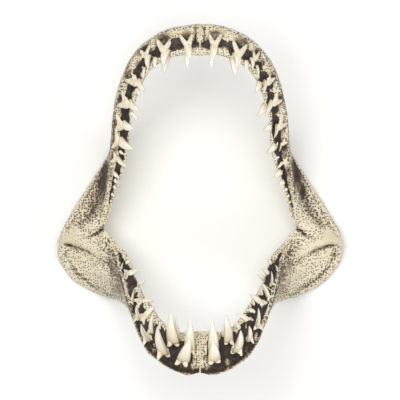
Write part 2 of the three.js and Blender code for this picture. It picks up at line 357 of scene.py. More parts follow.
def skin_faces(rows, columns, joined=False):
    """Quads over rings of points, with a flat end at each end ring unless these are joined."""
    ring = np.arange(columns)
    after = np.roll(ring, -1)
    quads = []
    for row in range(rows if joined else rows - 1):
        low, high = row * columns, (row + 1) % rows * columns
        quads.append(np.stack([low + ring, high + ring, high + after, low + after], axis=1))
    faces = np.concatenate(quads).tolist()
    if not joined:
        faces.append(ring.tolist())
        faces.append((ring[::-1] + (rows - 1) * columns).tolist())
    return faces


def skin_piece(name, rings, side, material, attributes, joined=False):
    """A closed piece over rings of points in mm, set out for the left side."""
    return mesh_piece(name, to_row_frame(rings.reshape(-1, 3), side),
                      skin_faces(*rings.shape[:2], joined), [material], attributes)


# Each tooth: its place along the outer crest from the middle of the jaw in mm, how far in it stands
# from the outer crest (0) to the inner one (1), the height of its crown and its width at the neck in
# mm, and how many degrees it leans towards the joint. The outermost of a whorl of teeth stand in
# "front", the younger ones behind them in "rear".
UPPER_TEETH = {
    ("left", "front"): [
        (17, 0.64, 20, 9, 1), (49, 0.69, 20, 11, 26), (72, 0.5, 15, 7, 42), (110, 0.54, 18, 7, 50),
        (139, 0.53, 24, 8, 50), (171, 0.5, 19, 7, 75), (192, 0.37, 14, 4, 75), (215, 0.36, 16, 5, 49)],
    ("left", "rear"): [
        (15, 0.76, 24, 7, 1), (47, 0.85, 23, 11, 23), (67, 0.7, 15, 7, 30), (84, 0.55, 15, 5, 53),
        (108, 0.77, 16, 9, 31), (143, 0.9, 17, 10, 41), (173, 0.8, 12, 10, 26), (195, 0.66, 16, 10, 41),
        (207, 0.48, 13, 5, 40), (228, 0.62, 13, 9, 43), (242, 0.64, 9, 7, 39), (251, 0.55, 6, 4, 45),
        (259, 0.5, 5, 4, 45), (267, 0.5, 4, 3, 45)],
    ("right", "front"): [
        (15, 0.67, 18, 9, -7), (43, 0.62, 23, 11, 29), (69, 0.4, 19, 9, 38), (108, 0.67, 19, 10, 25),
        (141, 0.6, 20, 11, 30), (170, 0.5, 17, 12, 28), (189, 0.33, 25, 13, 35), (211, 0.33, 21, 8, 42),
        (230, 0.33, 11, 7, 48)],
    ("right", "rear"): [
        (15, 0.8, 22, 7, 5), (45, 0.8, 22, 10, 28), (62, 0.64, 15, 6, 33), (85, 0.65, 15, 5, 49),
        (118, 0.75, 13, 6, 40), (153, 0.75, 15, 6, 38), (201, 0.35, 11, 5, 38), (238, 0.4, 8, 5, 50),
        (248, 0.55, 6, 4, 45), (257, 0.5, 5, 4, 45), (265, 0.5, 4, 3, 45)],
}


CREST_SAMPLES = 2001


def crest_lengths(jaw):
    """Curve parameters from the middle of a jaw to the joint, and the mm of outer crest up to each."""
    t = np.linspace(0, 1, CREST_SAMPLES)
    crest = frames_along(jaw, t)["labial"]
    steps = np.linalg.norm(np.diff(crest, axis=0), axis=1)
    return t, np.concatenate([[0], np.cumsum(steps)])


def strip_sizes(jaw, t, f):
    """How far along the outer crest each section stands and how wide its strip is, in mm."""
    return (np.interp(t, *crest_lengths(jaw))[:, None],
            np.linalg.norm(f["lingual"] - f["labial"], axis=1)[:, None])


# What is cut into the cartilage: a groove behind the teeth (its place across the strip, its width
# there, its depth), a bead along the free edge with a furrow inside it, a ridge at the middle seam,
# how much darker the strip is along the lips in front, how bare the middle is of the groove and of
# the painted shade round the roots, and ridges and hollows that run along lines in plan on the
# outer wall (line, half width, height, share left at its end).
UPPER_RELIEF = {
    "groove": (0.7, 0.13, 3.0), "edge_bead": 1.6, "edge_furrow": 1.4, "seam_ridge": 1.2,
    "lip_darkening": 0.2, "bare_middle": 0.0,
    "lines": [([(104, 38), (112, 12), (121, -12), (132, -28)], 6.0, -1.6, 1.0),
              ([(150, -22), (133, -4), (118, 20)], 5.0, 1.0, 1.0),
              ([(112, -28), (128, -28), (146, -36)], 5.0, 1.6, 1.0),
              ([(105, -30), (113, -35), (122, -40)], 2.4, -1.4, 0.3)],
}
# Shades are painted shade along lines in plan, where shade falls beside the dental bars and on the
# blades; the pores crowd and the brown is deeper there: line, half width, strength, share left at
# its end.
UPPER_SHADES = {
    "left": [([(102, 50), (106, 30), (110, 8), (112, -8)], 7.0, 1.1, 0.2),
             ([(105, 44), (113, 14), (124, -8), (137, -30)], 5.5, 0.85, 0.5)],
    "right": [([(101, 54), (104, 28), (106, 4), (111, -16)], 9.0, 1.3, 0.4),
              ([(107, 28), (118, 4), (128, -24)], 13.0, 0.5, 0.7)],
}
# The fold that runs out from the corner of the mouth along the joint, in plan, is sunk a little and
# darkened with painted shade.
CORNER_FOLD = [(105, -30), (110, -33.5), (116, -37.5), (123, -41)]
FOLD_WIDTH = 2.2
FOLD_DEPTH = 0.8
# Widths in mm: of the darker band along the lips, at the sides and in the middle, and the lower
# jaw's bare middle, then of the free edge's bead and of the painted highlight on its rim, the
# seam's ridge, and the dried skin and painted shade along the cuts.
LIP_DARK_BAND, MIDDLE_DARK_BAND, BARE_MIDDLE = 8.0, 9.0, 8.0
EDGE_BEAD, EDGE_HIGHLIGHT_RIM, SEAM_RIDGE, CUT_SKIN_AND_SHADE = 7.0, 10.0, 3.0, 9.0
# Furrows: how far in from the free edge or from the seam, and how wide, in mm.
EDGE_FURROW = (12.5, 3.6)
SEAM_FURROW = (4.6, 1.5)
# The strip's band with fewer pores lies that far in from the lip, and one with more along the lip.
DENSE_BAND = (7.0, 3.5)
RIM_BAND = 4.5
# A root's foot in crown widths, and the painted shade round it: how far out of the neck and how
# wide in feet, how dark, and the height in mm from which a tooth gets a full one.
ROOT_FOOT, ROOT_BEHIND, ROOT_SHADOW_REACH, ROOT_SHADOW_DARKNESS, BIG_TOOTH = 0.85, 0.6, 1.35, 0.68, 14
BASE_CROWDING = 0.8
MOST_CROWDING = 1.5
# Size in mm and height of the skin's ripples, then size and strength of the stain's.
LONG_RIPPLE, SHORT_RIPPLE, STAIN_RIPPLE = (26, 0.45), (7, 0.16), (18, 0.06)


def carve(jaw, relief, shades, teeth, seed):
    """A half's skin with its relief, and on each point how stained and painted with shade it is and how
    its pores crowd, which paints shade too.
    """
    points, f = sections(jaw, along_steps, around)
    normals = grid_normals(points)
    t = along_steps[:, None]
    station, strip_width = strip_sizes(jaw, along_steps, f)
    from_lip = across_strip * strip_width
    strip_fade = on_strip * ease(across_strip, 0, 0.12) * (1 - ease(across_strip, 0.9, 1.0))
    on_outer = ease(around, EDGE_END, EDGE_END + 0.6)
    below_lip = on_outer * (1 - ease(around, WALL_END - 0.4, WALL_END))
    marks = np.zeros((3, *points.shape[:2]))
    marks[2] = BASE_CROWDING

    def mark(mask, rise=0, stain_and_shade=0, pores_and_shade=0):
        """Adds to the skin's height in mm, its stain and painted shade, and its pores, each as far as the
        mask goes.
        """
        for plane, amount in zip(marks, (rise, stain_and_shade, pores_and_shade)):
            plane += mask * amount

    middle = relief["bare_middle"] * bell(points[..., 0], BARE_MIDDLE, 4)
    # the groove behind the teeth is sunk and darkened with painted shade
    at, width, deep = relief["groove"]
    mark(bell(across_strip - at, width) * strip_fade * (1 - middle),
         -deep * np.interp(t, [0, 0.5, 0.8, 1], [1, 0.8, 0.4, 0]),
         0.6 * np.interp(t, [0, 0.85, 1], [1, 0.8, 0]))

    # painted shade darkens the strip round each root, and the strip is darker along the lips
    root_shadow = np.zeros(points.shape[:2])
    for place, inset, height, width, _ in teeth:
        foot = ROOT_FOOT * width
        root_middle = inset * strip_width - ROOT_BEHIND * foot
        gap = np.hypot((station - place) / foot, (from_lip - root_middle) / foot)
        root_shadow = np.maximum(root_shadow, bell(gap, ROOT_SHADOW_REACH, 4) * min(1, height / BIG_TOOTH))
    mark(root_shadow * strip_fade * (1 - middle), stain_and_shade=ROOT_SHADOW_DARKNESS)
    along_lip = bell(from_lip, LIP_DARK_BAND) * (1 - ease(t, 0.4, 0.6))
    mark(on_strip * along_lip, stain_and_shade=relief["lip_darkening"], pores_and_shade=0.3)
    mark(middle * on_strip * bell(from_lip, MIDDLE_DARK_BAND, 4), stain_and_shade=0.45, pores_and_shade=0.5)
    # pores are few in the dense skin between the lips and the roots, and crowd on the bars' outer rim
    on_sides = ease(t, 0.25, 0.45)
    mark(on_strip, pores_and_shade=0.05)
    mark(on_strip * bell(from_lip - DENSE_BAND[0], DENSE_BAND[1]), pores_and_shade=-0.35 * (1 - 0.7 * on_sides))
    mark(on_strip * bell(from_lip, RIM_BAND), pores_and_shade=0.5 * on_sides * (1 - ease(t, 0.7, 0.85)))

    from_edge = np.linalg.norm(points - f["margin"][:, None, :], axis=2)
    blade = ease(t, 0.5, 0.68) * (1 - 0.6 * ease(t, 0.93, 1)) * below_lip
    # the free edge's bead, painted shade in the furrow inside it, and a painted highlight on the bead,
    # where the pores thin out to a pale rim
    mark(bell(from_edge, EDGE_BEAD) * blade, relief["edge_bead"])
    mark(bell(from_edge - EDGE_FURROW[0], EDGE_FURROW[1]) * blade, -relief["edge_furrow"], 0.3, 0.4)
    mark(bell(from_edge, EDGE_HIGHLIGHT_RIM, 4) * blade, pores_and_shade=-0.75)

    # painted shade browns the hollows along the lines and crowds their pores, and a painted highlight
    # thins the pores on the ridges
    for line, width, height, end_share in relief["lines"]:
        mark(line_bump(points, line, width, end_share) * below_lip * ease(t, 0.5, 0.6),
             height, 0.25 * np.clip(-height / 1.5, 0, 1.5), -0.2 * height)
    # painted shades are full on what faces up and weak on the steep walls, where they would run together
    open_up = 0.25 + 0.75 * ease(normals[..., 2], 0.0, 0.3)
    for line, width, strength, end_share in shades:
        mark(line_bump(points, line, width, end_share) * on_outer * ease(t, 0.45, 0.55) * open_up,
             stain_and_shade=0.4 * strength, pores_and_shade=0.7 * strength)
    # painted shade, brown and crowded pores, along the fold at the corner of the mouth
    fold = line_bump(points, CORNER_FOLD, FOLD_WIDTH, 0.25) * np.maximum(on_outer, on_strip)
    mark(fold, -FOLD_DEPTH, 0.9, 1)

    # the halves meet in a low ridge with a furrow beside it, which is darkened with painted shade
    from_seam = np.abs(points[..., 0])
    front = strip_fade * (1 - ease(across_strip, 0.55, 0.75))
    ridge = relief["seam_ridge"]
    mark(bell(from_seam, SEAM_RIDGE) * front, ridge)
    mark(bell(from_seam - SEAM_FURROW[0], SEAM_FURROW[1]) * front, -ridge, 0.2 * ridge, 0.4)

    depth, stain_and_shade, pores_and_shade = marks
    depth += ripple(points, *LONG_RIPPLE, seed) + ripple(points, *SHORT_RIPPLE, seed + 1)
    end_fade = np.minimum(ease(t, 0, 0.006), 1 - ease(t, 0.992, 1))
    moved = points + normals * (depth * end_fade)[..., None]

    # painted shade darkens what is hollow over about 6 mm, and painted light pales what stands proud
    hollow = dot(blur(moved, 8, 6) - moved, normals)[..., 0]
    stain_and_shade += np.clip(hollow - 0.15, 0, 1.5) * 0.35
    stain_and_shade -= np.clip(-hollow - 0.1, 0, 1) * 0.3

    # lips, tongue and muscles were cut off along the crests and the free edge, where skin dried dark; laid
    # only on the steep walls there, it is also painted shade that outlines the jaws
    to_cut = np.min([np.linalg.norm(points - f[name][:, None, :], axis=2)
                     for name in ("labial", "lingual", "margin")], axis=0)
    steep = 1 - ease(grid_normals(moved)[..., 2], 0.05, 0.5)
    stain_and_shade += 0.75 * steep * bell(to_cut, CUT_SKIN_AND_SHADE)
    stain_and_shade = np.clip(stain_and_shade + ripple(points, *STAIN_RIPPLE, seed + 2), 0, 1)

    # the halves stop short of the seam, of the joint and of the floor
    moved[0, :, 0] = SYMPHYSIS_GAP / 2
    moved[1:, :, 0] = np.maximum(moved[1:, :, 0], SYMPHYSIS_GAP / 2)
    outward = jaw["toward_joint"] * seam_normal
    past = (moved - MOUTH_CORNER) @ outward + JOINT_GAP / 2
    moved[-1] -= past[-1][:, None] * outward
    moved[:-1] -= np.maximum(past[:-1], 0)[..., None] * outward
    moved[..., 2] = np.maximum(moved[..., 2], -LIFT)
    return moved, {"stain_and_shade": stain_and_shade, "pores_and_shade": np.clip(pores_and_shade, 0, MOST_CROWDING)}


# Dried calcified cartilage: cream, matt and slightly waxy, with a mosaic of tesserae that catches
# the light and a dark pore at many of their corners. The pores of a real jaw are half a millimetre
# wide and a millimetre apart, and are drawn nearly three times as large, so that they show.
TESSERA = 0.0016
PORE_SPACING = 0.0027
MOTTLE = 0.022
BLOTCH = 0.006
BLOTCH_PUSH = 0.5


def pushed_share(node, share, noise, most, clamped=True):
    """A share that a noise pushes up and down, by most from end to end."""
    push = node("Math", {0: noise, 1: most, 2: -most / 2}, operation="MULTIPLY_ADD")
    return node("Math", {0: share, 1: push}, operation="ADD", use_clamp=clamped)


cartilage, node, place, coat = new_material("dried_calcified_cartilage")
stain_and_shade_share, pores_and_shade = [node("Attribute", attribute_name=name).outputs["Fac"]
                         for name in ("stain_and_shade", "pores_and_shade")]
mottle = node("TexNoise", {"Vector": place, "Scale": 1 / MOTTLE, "Detail": 4.0, "Roughness": 0.6})
cream = node("Mix", {"Factor": mottle, "A": "#ebe2cc", "B": "#d2c3a0"}, data_type="RGBA")
blotch = node("TexNoise", {"Vector": place, "Scale": 1 / BLOTCH, "Detail": 5.0, "Roughness": 0.65})
stain_and_shade_soft = pushed_share(node, stain_and_shade_share, blotch, BLOTCH_PUSH)
# the brown of the stain, which also carries the painted shade, going nearly black where the painted shade
# is deepest
stain_and_shade_tone = node("ValToRGB", {"Fac": stain_and_shade_soft},
                  stops=[(0, "#c9b68f"), (0.4, "#8a6f4c"), (0.7, "#463321"), (1, "#1c130d")])
stain_and_shade_cover = node("MapRange", {"Value": stain_and_shade_soft, "From Min": 0.15, "From Max": 0.75})
stained_and_shaded = node("Mix", {"Factor": stain_and_shade_cover, "A": cream, "B": stain_and_shade_tone}, data_type="RGBA")
# pores are spread evenly over the plane that the skin faces most: plan, side or front
geometry = node("NewGeometry")
facing, spot = [node("SeparateXYZ", {"Vector": vector}).outputs
                for vector in (geometry.outputs["Normal"], place)]
side_plane, front_plane = [node("CombineXYZ", {"X": spot[axis], "Y": spot["Z"]}) for axis in ("Y", "X")]
steepness = [node("Math", {0: facing[axis]}, operation="ABSOLUTE") for axis in ("X", "Z")]
faces_side, faces_up = [node("Math", {0: steep, 1: least}, operation="GREATER_THAN")
                        for steep, least in zip(steepness, (0.6, 0.42))]
upright = node("Mix", {"Factor": faces_side, "A": front_plane, "B": side_plane}, data_type="VECTOR")
skin_plane = node("Mix", {"Factor": faces_up, "A": upright, "B": place}, data_type="VECTOR")
pores = node("TexVoronoi", {"Vector": skin_plane, "Scale": 1 / PORE_SPACING, "Randomness": 0.86},
             voronoi_dimensions="2D")
pore_chance = node("SeparateColor", {"Color": pores.outputs["Color"]})
# where painted shade lies the pores crowd and grow, darkening it like stipple, and where a painted
# highlight lies they thin out
pores_and_shade_soft = pushed_share(node, pores_and_shade, blotch, BLOTCH_PUSH, clamped=False)
pore_here = node("Math", {0: pore_chance, 1: pores_and_shade_soft}, operation="LESS_THAN")
pore_radius = node("MapRange", {
    "Value": pores_and_shade_soft, "From Min": 0.6, "From Max": 1.5, "To Min": 0.21, "To Max": 0.46})
pore_depth = node("Math", {0: pore_radius, 1: pores}, operation="SUBTRACT")
pore_edge = node("MapRange", {"Value": pore_depth, "From Min": -0.05, "From Max": 0.07})
pore = node("Math", {0: pore_edge, 1: pore_here}, operation="MULTIPLY")
pore_cover = node("Math", {0: pore, 1: 0.88}, operation="MULTIPLY")
pored = node("Mix", {"Factor": pore_cover, "A": stained_and_shaded, "B": "#382b1f"}, data_type="RGBA")
tesserae = node("TexVoronoi", {"Vector": place, "Scale": 1 / TESSERA}, feature="DISTANCE_TO_EDGE")
mosaic_bump = node("Bump", {"Height": tesserae, "Strength": 0.35, "Distance": 0.0003})
pore_bump = node("Bump", {"Height": pore, "Strength": 0.6, "Distance": 0.0005, "Normal": mosaic_bump},
                 invert=True)
wax = node("MapRange", {
    "Value": stain_and_shade_soft, "From Min": 0.1, "From Max": 0.6, "To Min": 0.52, "To Max": 0.9})
coat({"Base Color": pored, "Roughness": wax, "Normal": pore_bump, "Subsurface Weight": 0.08,
      "Subsurface Radius": (1.0, 0.7, 0.5), "Subsurface Scale": 0.0015})

SIDES = {"left": 1, "right": -1}
carved = {}


def cartilage_half(jaw_name, side_name, jaw, relief, shades, teeth, seed):
    whorls = teeth[side_name, "front"] + teeth[side_name, "rear"]
    points, marks = carve(jaw, relief, shades[side_name], whorls, seed)
    carved[jaw_name, side_name] = points
    return skin_piece(f"{jaw_name}_{side_name}_cartilage", points, SIDES[side_name], cartilage, marks)


for side_name, seed in (("left", 11), ("right", 12)):
    bar = cartilage_half("upper", side_name, UPPER_JAW, UPPER_RELIEF, UPPER_SHADES, UPPER_TEETH, seed)
    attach(bar, "root")
    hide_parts(f"upper_jaw_{side_name}")


# ---------------------------------------------------------------- lower jaw cartilage
# The Meckel's cartilages, shorter and steeper than the upper pair. In front they are a broad wall
# that the rows of teeth climb, and behind they spread into a blade with a ridge where it meets
# the upper jaw. They are cleaned of flesh and dried open, like the upper pair.
LOWER_JAW = {
    "labial": [[0, -182, 206], [15, -184, 204], [34, -177, 198], [51, -164.5, 186],
               [62.5, -149, 168], [75.5, -117, 132], [84.5, -86.5, 98], [91.5, -62, 70],
               [98.5, -50.5, 52]],
    "lingual": [[0, -140.5, 172], [11.5, -140.5, 171], [26.5, -140.5, 168], [40.5, -130, 160],
                [50.5, -115.5, 148], [61.5, -101, 124], [69.5, -85.5, 96], [78.5, -62, 68],
                [91, -49, 52]],
    "margin": [[0, -154, 152], [13, -155, 151], [30, -153, 146], [45, -146, 132], [58.5, -132, 104],
               [75, -114, 54], [107.5, -106, 8], [137, -90.5, 1], [154, -68, 2]],
    "rim": [9, 9, 9, 8, 7, 5.5, 4.5, 4.5, 5, 9],
    "lip_swell": [2, 2, 2, 2, 1.5, 1, -1, -2.5, -2.5, 1],
    "tongue_swell": [1, 1, 1, 1, 1, 1, 0.5, 0, 0, 1],
    "crown": [2, 2, 2, 2, 2, 1.5, 1.5, 1, 1, 0.5],
    "toward_joint": 1,
}
LOWER_TEETH = {
    ("left", "front"): [
        (17, 0.31, 28, 14, 2), (46, 0.33, 29, 13, 27), (70, 0.29, 20, 9, 20), (96, 0.25, 26, 8, 27),
        (123, 0.1, 18, 5, 49), (151, 0.17, 25, 8, 28), (174, 0.33, 20, 5, 77), (199, 0.2, 9, 4, 75)],
    ("left", "rear"): [
        (17, 0.53, 37, 12, 3), (34, 0.84, 18, 5, 5), (39, 0.65, 34, 11, 7), (61, 0.77, 11, 6, -9),
        (86, 0.61, 19, 9, -36), (107, 0.59, 11, 9, -37), (110, 0.8, 9, 5, 21), (132, 0.5, 18, 11, -8),
        (144, 0.63, 15, 6, 34), (185, 0.95, 11, 7, 35), (194, 0.77, 12, 9, 45), (210, 0.79, 9, 7, 56),
        (220, 0.5, 6, 4, 50)],
    ("right", "front"): [
        (21, 0.28, 31, 14, -11), (45, 0.26, 38, 14, 27), (74, 0.24, 24, 11, 44), (111, 0.26, 20, 8, 40),
        (143, 0.16, 21, 5, 36), (156, 0.1, 22, 5, 70), (186, 0.2, 13, 4, 80), (200, 0.12, 12, 4, 80)],
    ("right", "rear"): [
        (13, 0.53, 38, 12, 3), (30, 0.84, 26, 6, 16), (35, 0.64, 39, 14, 17), (61, 0.73, 12, 5, 14),
        (74, 0.42, 25, 8, 14), (104, 0.43, 20, 11, -16), (131, 0.62, 16, 11, -38), (140, 0.7, 13, 6, 39),
        (172, 0.88, 13, 6, 16), (194, 0.43, 15, 10, 23), (211, 0.5, 10, 5, 35), (220, 0.5, 6, 4, 50)],
}
LOWER_RELIEF = {
    "groove": (0.36, 0.1, 1.2), "edge_bead": 1.6, "edge_furrow": 1.4, "seam_ridge": 0.4,
    "lip_darkening": 0.7, "bare_middle": 1.0,
    "lines": [([(154, -40), (132.5, -47.5), (121.5, -53), (110.5, -59.5), (94, -64)], 4.0, 2.4, 0.6),
              ([(153.5, -50), (143.5, -51), (135, -53.5), (126, -56.5), (116, -62), (108, -67.5),
                (101.5, -71)], 2.8, -2.4, 0.15),
              ([(114, -76), (93, -89.5)], 4.0, 1.2, 1.0),
              ([(106, -33), (118, -40), (128, -43)], 3.0, -1.2, 0.3)],
}
BLADE_SHADES = [([(90, -52), (92, -68), (88, -92), (81, -112)], 11.0, 1.0, 1.0),
                ([(103, -48), (96, -62)], 9.0, 0.35, 1.0),
                ([(140, -78), (132, -86), (121, -92), (110, -99), (98, -106)], 3.2, 0.8, 0.8)]
LOWER_SHADES = {
    "left": [*BLADE_SHADES, ([(150, -56), (148, -66), (143, -77)], 3.4, 0.8, 0.8)],
    "right": BLADE_SHADES,
}

for side_name, seed in (("left", 21), ("right", 22)):
    bar = cartilage_half("lower", side_name, LOWER_JAW, LOWER_RELIEF, LOWER_SHADES, LOWER_TEETH, seed)
    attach(bar, "root")
    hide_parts(f"lower_jaw_{side_name}")


# ---------------------------------------------------------------- ligaments
# Sheets of collagen that tie the upper cartilages to the lower ones at the joints, and the halves
# of each jaw in front. They dry over the seams to a tight cream skin with fine fibres.
JOINT_ROWS = [16, 14, 12, 10, 8, 6, 4, 3, 2, 1]
MIDDLE_ROWS = [4, 3, 2, 1, 0]
BAND_SINK = 0.6
BAND_UNDER = 1.2
FRAY = 9
# The key points round the hinge end where a capsule begins, is whole, thins out and ends, and the
# middle and the width of its bulge.
CAPSULE = (4.5, 5.5, 8.6, 10.3)
CAPSULE_BULGE = (7.4, 1.1)


def band_piece(name, halves, proud, ragged, side, joined, seed):
    """A skin over a seam. halves are the two jaws' point grids from far off to the seam."""
    points, normals = [np.concatenate([first, second[::-1]]) for first, second in zip(*halves)]
    from_middle = np.abs(np.linspace(-1, 1, len(points)))[:, None]
    frayed = np.clip(from_middle * (1.15 + ripple(points, FRAY, ragged, seed)), 0, 1.2)
    height = proud * np.maximum(1 - frayed ** 2, 0) - BAND_SINK * ease(frayed, 0.6, 1.1)
    top = points + normals * height[..., None]
    under = points - normals * BAND_UNDER
    rings = np.concatenate([top, under[::-1]]).transpose(1, 0, 2)
    across = np.concatenate([frayed, frayed[::-1]]).T
    return skin_piece(name, rings, side, ligament, {"across": across}, joined)


# Dried ligament: pale cream, a little darker where it is thick, satin, with fibres across the seam.
LIGAMENT_FIBRE = 0.0013
LIGAMENT_CLOUD = 0.007

ligament, node, place, coat = new_material("dried_ligament_collagen")
from_seam_share = node("Attribute", attribute_name="across").outputs["Fac"]
fibres = node("TexNoise", {
    "Vector": place, "Scale": 1 / LIGAMENT_FIBRE, "Detail": 3.0, "Roughness": 0.6, "Distortion": 1.5})
clouds = node("TexNoise", {"Vector": place, "Scale": 1 / LIGAMENT_CLOUD, "Detail": 3.0})
thin_share = node("Math", {0: from_seam_share, 1: clouds}, operation="MULTIPLY")
thin_tone = node("ValToRGB", {"Fac": thin_share}, stops=[(0, "#dfd2b2"), (0.45, "#e7ddc5")])
fibre_share = node("MapRange", {"Value": fibres, "From Min": 0.4, "From Max": 0.75})
fibre_tone = node("Mix", {"Factor": fibre_share, "A": thin_tone, "B": "#b3a07a"}, data_type="RGBA")
fibre_bump = node("Bump", {"Height": fibres, "Strength": 0.4, "Distance": 0.0003})
coat({"Base Color": fibre_tone, "Roughness": 0.5, "Normal": fibre_bump, "Subsurface Weight": 0.1,
      "Subsurface Radius": (1.0, 0.7, 0.4), "Subsurface Scale": 0.0015})

# each joint's capsule wraps the hinge end and thins out towards the corner of the mouth
capsule = (around > CAPSULE[0]) & (around < CAPSULE[3])
capsule_fade = ease(around[capsule], *CAPSULE[:2]) * (1 - ease(around[capsule], *CAPSULE[2:]))
capsule_bulge = bell(around[capsule] - CAPSULE_BULGE[0], CAPSULE_BULGE[1])
capsule_proud = (0.4 + 0.5 * capsule_bulge) * capsule_fade - BAND_SINK * (1 - capsule_fade)
for side_name, side in SIDES.items():
    grids = [(carved[jaw_name, side_name], grid_normals(carved[jaw_name, side_name]))
             for jaw_name in ("upper", "lower")]
    halves = [[grid[[-1 - row for row in JOINT_ROWS]][:, capsule] for grid in pair] for pair in grids]
    band = band_piece(f"joint_{side_name}_ligament", halves, capsule_proud, 0.3, side, False, 61 + side)
    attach(band, "root")

# the symphysis bands run right round each jaw in front
for jaw_name, seed in (("upper", 65), ("lower", 66)):
    halves = []
    for side_name, side in SIDES.items():
        grid = carved[jaw_name, side_name]
        halves.append([part[MIDDLE_ROWS] * [side, 1, 1] for part in (grid, grid_normals(grid))])
    band = band_piece(f"{jaw_name}_symphysis_ligament", halves, 0.15, 0.2, 1, True, seed)
    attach(band, "root")


# ---------------------------------------------------------------- dried gum
# The dental membrane that carried the rows of teeth. It shrinks as it dries into a thin brown
# leather over the toothed strip, drawn up in a collar round each tooth and ragged at its edges.
GUM_COLUMNS = 44
GUM_UNDER = 1.2
GUM_SINK = 0.8
GUM_END = 0.93
GUM_THICK = 0.6
GUM_LEAST = 0.25
# How far round a tooth the gum lies, where its collar stands and how wide it is, in the tooth's
# feet, and the height in mm from which a tooth has a full collar. A foot is some mm and some
# tooth widths.
GUM_REACH, COLLAR_AT, COLLAR_WIDE, COLLARED_TOOTH = 2.0, 0.9, 0.45, 20
FOOT_MM, FOOT_WIDTHS = 1.0, 0.6
# Size in mm and height of its wrinkles and waves, then size of its rags and how far they reach.
GUM_WRINKLES, GUM_WAVES, GUM_RAGS = (7, 0.2), (16, 0.3), (15, 0.1)


def gum_half(name, jaw, skin, teeth, side, seed, insets, thins, collar_height, bare_seam):
    """The membrane over the strip between two insets, with the seam bare to bare_seam mm beside it.

    Between the two shares of its width in thins it comes to its end on the tongue side."""
    kept = along_steps < GUM_END
    t = along_steps[kept]
    along = t[:, None]
    inset = np.linspace(*insets, GUM_COLUMNS)
    seat, up = [np.array([[np.interp(inset, across_strip[on_strip], row[on_strip, axis])
                           for axis in range(3)] for row in grid[kept]]).transpose(0, 2, 1)
                for grid in (skin, grid_normals(skin))]
    up = unit(up)

    station, strip_width = strip_sizes(jaw, t, frames_along(jaw, t))
    near = np.zeros(seat.shape[:2])
    collar = np.zeros(seat.shape[:2])
    for place, tooth_inset, height, width, _ in teeth:
        foot = FOOT_MM + FOOT_WIDTHS * width
        gap = np.hypot((station - place) / foot, (inset - tooth_inset) * strip_width / foot)
        near = np.maximum(near, bell(gap, GUM_REACH))
        most = min(1, height / COLLARED_TOOTH)
        collar = np.maximum(collar, bell(gap - COLLAR_AT, COLLAR_WIDE) * most)
    waves = ripple(seat, *GUM_WRINKLES, seed + 5) + ripple(seat, *GUM_WAVES, seed + 6)
    thick = GUM_THICK + collar_height * collar + waves
    share = (inset - insets[0]) / (insets[1] - insets[0])
    ragged = ripple(seat, *GUM_RAGS, seed + 7)
    from_seam = np.abs(seat[..., 0])
    late = 0.4 * bell(from_seam, 9.0)
    # it ends ragged along both crests, narrows at the back, lies only near teeth, and stops short
    # of the seam and of the corner of the mouth
    cover = ease(share + ragged - late, 0.05, 0.3)
    cover = cover * (1 - ease(share + ragged + 0.15 * (1 - near), *thins))
    cover = cover * (1 - ease(share, 0.45, 0.65) * ease(along, 0.68, 0.8))
    cover = cover * ease(near + ragged, 0.1, 0.35)
    cover = cover * ease(from_seam, bare_seam, bare_seam + 2.5)
    cover = cover * (1 - ease(along + 0.1 * ragged, 0.84, 0.92))
    # the hidden part lies shallow at the inner crest, where the strip turns down steeply
    shallow = 1 - 0.75 * ease(share, 0.6, 0.95) * np.ones_like(cover)
    top = seat + up * (np.maximum(thick, GUM_LEAST) * cover - GUM_SINK * shallow * (1 - cover))[..., None]
    under = seat - up * (GUM_UNDER * shallow)[..., None]
    rings = np.concatenate([top, under[:, ::-1]], axis=1)
    rings[..., 0] = np.maximum(rings[..., 0], SYMPHYSIS_GAP / 2)
    # how near a tooth each point lies, which the gum's colour uses as painted shade
    shade = np.concatenate([near, near[:, ::-1]], axis=1)
    return skin_piece(name, rings, side, gum, {"near_tooth": shade})


# Dried gum: rawhide brown, darkened to nearly black by the teeth with painted shade, satin, finely
# cracked.
GUM_GRAIN = 0.0028
GUM_FOLD = 0.0045
FOLD_PUSH = 0.7

gum, node, place, coat = new_material("dried_gum_rawhide")
by_tooth = node("Attribute", attribute_name="near_tooth").outputs["Fac"]
folds = node("TexNoise", {"Vector": place, "Scale": 1 / GUM_FOLD, "Detail": 5.0, "Roughness": 0.7})
tooth_shade_share = pushed_share(node, by_tooth, folds, FOLD_PUSH)
gum_tone = node("ValToRGB", {"Fac": tooth_shade_share},
                stops=[(0, "#6b533a"), (0.35, "#3f2d20"), (0.65, "#281b13"), (1, "#120c08")])
grain = node("TexVoronoi", {"Vector": place, "Scale": 1 / GUM_GRAIN}, feature="DISTANCE_TO_EDGE")
fold_bump = node("Bump", {"Height": folds, "Strength": 0.6, "Distance": 0.0012})
crack_bump = node("Bump", {"Height": grain, "Strength": 0.4, "Distance": 0.0004, "Normal": fold_bump})
coat({"Base Color": gum_tone, "Roughness": 0.55, "Normal": crack_bump})

for jaw_name, jaw, teeth, seed, *sizes in (
        ("upper", UPPER_JAW, UPPER_TEETH, 11, (0.38, 0.95), (0.72, 0.98), 0.3, -3.0),
        ("lower", LOWER_JAW, LOWER_TEETH, 21, (0.05, 0.9), (0.86, 1.02), 0.5, 6.0)):
    for side_name, side in SIDES.items():
        whorls = teeth[side_name, "front"] + teeth[side_name, "rear"]
        membrane = gum_half(f"{jaw_name}_{side_name}_gum", jaw, carved[jaw_name, side_name], whorls,
                            side, seed + (side < 0), *sizes)
        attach(membrane, "root")


# ---------------------------------------------------------------- teeth
# Mako teeth: slender smooth awls without side cusps, flat towards the lips and round towards the
# tongue, with a cutting edge down each side. Each is a crown of enameloid on a two-lobed root, and
# only gum holds it. The whorls are set out one by one and repeated over the points by node trees.
TOOTH_SINK = 2.5
TOOTH_SINK_SHARE = 0.2
NECK = 0.1
ROOT_BURIED = 3.0
ROOT_REACH = 0.91
